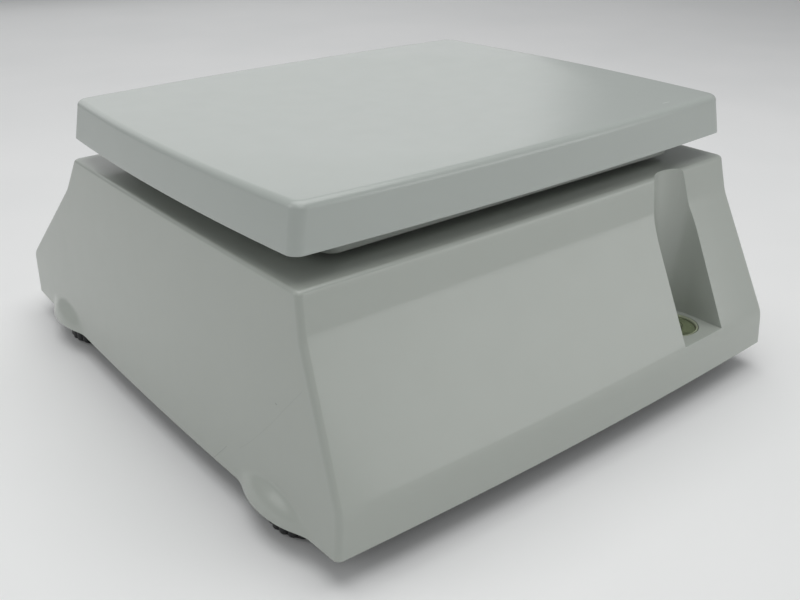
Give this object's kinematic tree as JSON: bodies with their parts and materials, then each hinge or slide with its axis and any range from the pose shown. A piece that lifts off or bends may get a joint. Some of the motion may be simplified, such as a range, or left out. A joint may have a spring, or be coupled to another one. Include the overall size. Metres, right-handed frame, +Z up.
{
  "type": "retail price scale",
  "caption": "Counter scale with a shallow dished lift-off platter, tapered grey housing, sloped operator console, bull's-eye level in a side well and screw feet.",
  "frame": {"origin": "middle of the footprint on the table, under the housing", "axes": "+Z up, operator console towards -Y, plain customer face towards +Y, +X to the operator's right"},
  "size_m": [0.3834, 0.4276, 0.1883],
  "materials": {
    "housing_plastic": "fine satin texture, warm light grey",
    "platter_plastic": "semi-gloss light grey",
    "dark_plastic": "fine matt texture",
    "black_plastic": "satin black",
    "steel": "zinc-plated steel",
    "aluminium": "milled",
    "rubber": "matt",
    "circuit_board": "solder-resist green",
    "key_plastic": "satin off-white",
    "display_window": "smoked clear plastic",
    "lcd": "unlit liquid-crystal display",
    "level_green": "olive green",
    "level_lens": "clear",
    "battery_case": "moulded case"
  },
  "bodies": {
    "housing": {"upper_housing": "housing_plastic", "base_tray": "dark_plastic", "housing_screw_1": "steel", "housing_screw_2": "steel", "housing_screw_3": "steel", "housing_screw_4": "steel", "level_body": "level_green", "level_fluid": "level_green", "level_lens": "level_lens", "load_cell_pedestal": "aluminium", "overload_stop_screw": "steel", "load_cell": "aluminium", "cell_bolt_fixed_outer": "steel", "cell_bolt_fixed_inner": "steel", "keypad_frame": "dark_plastic", "key_board": "circuit_board", "display_window": "display_window", "display_lcd": "lcd", "display_board": "circuit_board", "main_board": "circuit_board", "power_inlet": "black_plastic", "switch_body": "black_plastic"},
    "weighing_head": {"platter_riser": "aluminium", "cell_bolt_moving_front": "steel", "cell_bolt_moving_rear": "steel", "platter_frame": "housing_plastic", "platter_buffer_rear_right": "rubber", "platter_buffer_rear_left": "rubber", "platter_buffer_front_right": "rubber", "platter_buffer_front_left": "rubber"},
    "platter": {"platter": "platter_plastic"},
    "stud_rear_right": {"foot_stud_rear_right": "steel"},
    "knob_rear_right": {"foot_knob_rear_right": "black_plastic"},
    "stud_rear_left": {"foot_stud_rear_left": "steel"},
    "knob_rear_left": {"foot_knob_rear_left": "black_plastic"},
    "stud_front_right": {"foot_stud_front_right": "steel"},
    "knob_front_right": {"foot_knob_front_right": "black_plastic"},
    "stud_front_left": {"foot_stud_front_left": "steel"},
    "knob_front_left": {"foot_knob_front_left": "black_plastic"},
    "key_7": {"key_7": "key_plastic"},
    "key_8": {"key_8": "key_plastic"},
    "key_9": {"key_9": "key_plastic"},
    "key_tare": {"key_tare": "key_plastic"},
    "key_4": {"key_4": "key_plastic"},
    "key_5": {"key_5": "key_plastic"},
    "key_6": {"key_6": "key_plastic"},
    "key_zero": {"key_zero": "key_plastic"},
    "key_1": {"key_1": "key_plastic"},
    "key_2": {"key_2": "key_plastic"},
    "key_3": {"key_3": "key_plastic"},
    "key_add": {"key_add": "key_plastic"},
    "key_clear": {"key_clear": "key_plastic"},
    "key_0": {"key_0": "key_plastic"},
    "key_point": {"key_point": "key_plastic"},
    "key_total": {"key_total": "key_plastic"},
    "battery_pack": {"battery_door": "dark_plastic", "battery": "battery_case"},
    "rocker": {"power_rocker": "dark_plastic"}
  },
  "joints": [
    {"name": "weighing_deflection", "type": "slide", "parent": "housing", "child": "weighing_head", "axis": [0, 0, -1], "range_m": [0, 0.00025], "stiffness_N_per_m": 1000000},
    {"name": "platter_lift_off", "type": "slide", "parent": "weighing_head", "child": "platter", "axis": [0, 0, 1], "range_m": [0, 0.08]},
    {"name": "foot_height_rear_right", "type": "slide", "parent": "housing", "child": "stud_rear_right", "axis": [0, 0, -1], "range_m": [-0.002, 0.004]},
    {"name": "foot_turn_rear_right", "type": "hinge", "parent": "stud_rear_right", "child": "knob_rear_right", "pos_m": [0.158, 0.14925, 0], "axis": [0, 0, 1], "range_deg": [-1153, 577]},
    {"name": "foot_height_rear_left", "type": "slide", "parent": "housing", "child": "stud_rear_left", "axis": [0, 0, -1], "range_m": [-0.002, 0.004]},
    {"name": "foot_turn_rear_left", "type": "hinge", "parent": "stud_rear_left", "child": "knob_rear_left", "pos_m": [-0.158, 0.14925, 0], "axis": [0, 0, 1], "range_deg": [-1153, 577]},
    {"name": "foot_height_front_right", "type": "slide", "parent": "housing", "child": "stud_front_right", "axis": [0, 0, -1], "range_m": [-0.002, 0.004]},
    {"name": "foot_turn_front_right", "type": "hinge", "parent": "stud_front_right", "child": "knob_front_right", "pos_m": [0.158, -0.13775, 0], "axis": [0, 0, 1], "range_deg": [-1153, 577]},
    {"name": "foot_height_front_left", "type": "slide", "parent": "housing", "child": "stud_front_left", "axis": [0, 0, -1], "range_m": [-0.002, 0.004]},
    {"name": "foot_turn_front_left", "type": "hinge", "parent": "stud_front_left", "child": "knob_front_left", "pos_m": [-0.158, -0.13775, 0], "axis": [0, 0, 1], "range_deg": [-1153, 577]},
    {"name": "press_7", "type": "slide", "parent": "housing", "child": "key_7", "axis": [0, 0.6604, -0.7509], "range_m": [0, 0.0015], "stiffness_N_per_m": 400},
    {"name": "press_8", "type": "slide", "parent": "housing", "child": "key_8", "axis": [0, 0.6604, -0.7509], "range_m": [0, 0.0015], "stiffness_N_per_m": 400},
    {"name": "press_9", "type": "slide", "parent": "housing", "child": "key_9", "axis": [0, 0.6604, -0.7509], "range_m": [0, 0.0015], "stiffness_N_per_m": 400},
    {"name": "press_tare", "type": "slide", "parent": "housing", "child": "key_tare", "axis": [0, 0.6604, -0.7509], "range_m": [0, 0.0015], "stiffness_N_per_m": 400},
    {"name": "press_4", "type": "slide", "parent": "housing", "child": "key_4", "axis": [0, 0.6604, -0.7509], "range_m": [0, 0.0015], "stiffness_N_per_m": 400},
    {"name": "press_5", "type": "slide", "parent": "housing", "child": "key_5", "axis": [0, 0.6604, -0.7509], "range_m": [0, 0.0015], "stiffness_N_per_m": 400},
    {"name": "press_6", "type": "slide", "parent": "housing", "child": "key_6", "axis": [0, 0.6604, -0.7509], "range_m": [0, 0.0015], "stiffness_N_per_m": 400},
    {"name": "press_zero", "type": "slide", "parent": "housing", "child": "key_zero", "axis": [0, 0.6604, -0.7509], "range_m": [0, 0.0015], "stiffness_N_per_m": 400},
    {"name": "press_1", "type": "slide", "parent": "housing", "child": "key_1", "axis": [0, 0.6604, -0.7509], "range_m": [0, 0.0015], "stiffness_N_per_m": 400},
    {"name": "press_2", "type": "slide", "parent": "housing", "child": "key_2", "axis": [0, 0.6604, -0.7509], "range_m": [0, 0.0015], "stiffness_N_per_m": 400},
    {"name": "press_3", "type": "slide", "parent": "housing", "child": "key_3", "axis": [0, 0.6604, -0.7509], "range_m": [0, 0.0015], "stiffness_N_per_m": 400},
    {"name": "press_add", "type": "slide", "parent": "housing", "child": "key_add", "axis": [0, 0.6604, -0.7509], "range_m": [0, 0.0015], "stiffness_N_per_m": 400},
    {"name": "press_clear", "type": "slide", "parent": "housing", "child": "key_clear", "axis": [0, 0.6604, -0.7509], "range_m": [0, 0.0015], "stiffness_N_per_m": 400},
    {"name": "press_0", "type": "slide", "parent": "housing", "child": "key_0", "axis": [0, 0.6604, -0.7509], "range_m": [0, 0.0015], "stiffness_N_per_m": 400},
    {"name": "press_point", "type": "slide", "parent": "housing", "child": "key_point", "axis": [0, 0.6604, -0.7509], "range_m": [0, 0.0015], "stiffness_N_per_m": 400},
    {"name": "press_total", "type": "slide", "parent": "housing", "child": "key_total", "axis": [0, 0.6604, -0.7509], "range_m": [0, 0.0015], "stiffness_N_per_m": 400},
    {"name": "battery_door_lift_off", "type": "slide", "parent": "housing", "child": "battery_pack", "axis": [0, 0, -1], "range_m": [0, 0.06]},
    {"name": "power_switch", "type": "hinge", "parent": "housing", "child": "rocker", "pos_m": [-0.1822, 0.05725, 0.057], "axis": [0, -1, 0], "range_deg": [0, 18]}
  ],
  "couplings": [
    {"joint": "foot_turn_rear_right", "follows": "foot_height_rear_right", "rad_per_m": -5026.5},
    {"joint": "foot_turn_rear_left", "follows": "foot_height_rear_left", "rad_per_m": -5026.5},
    {"joint": "foot_turn_front_right", "follows": "foot_height_front_right", "rad_per_m": -5026.5},
    {"joint": "foot_turn_front_left", "follows": "foot_height_front_left", "rad_per_m": -5026.5}
  ]
}
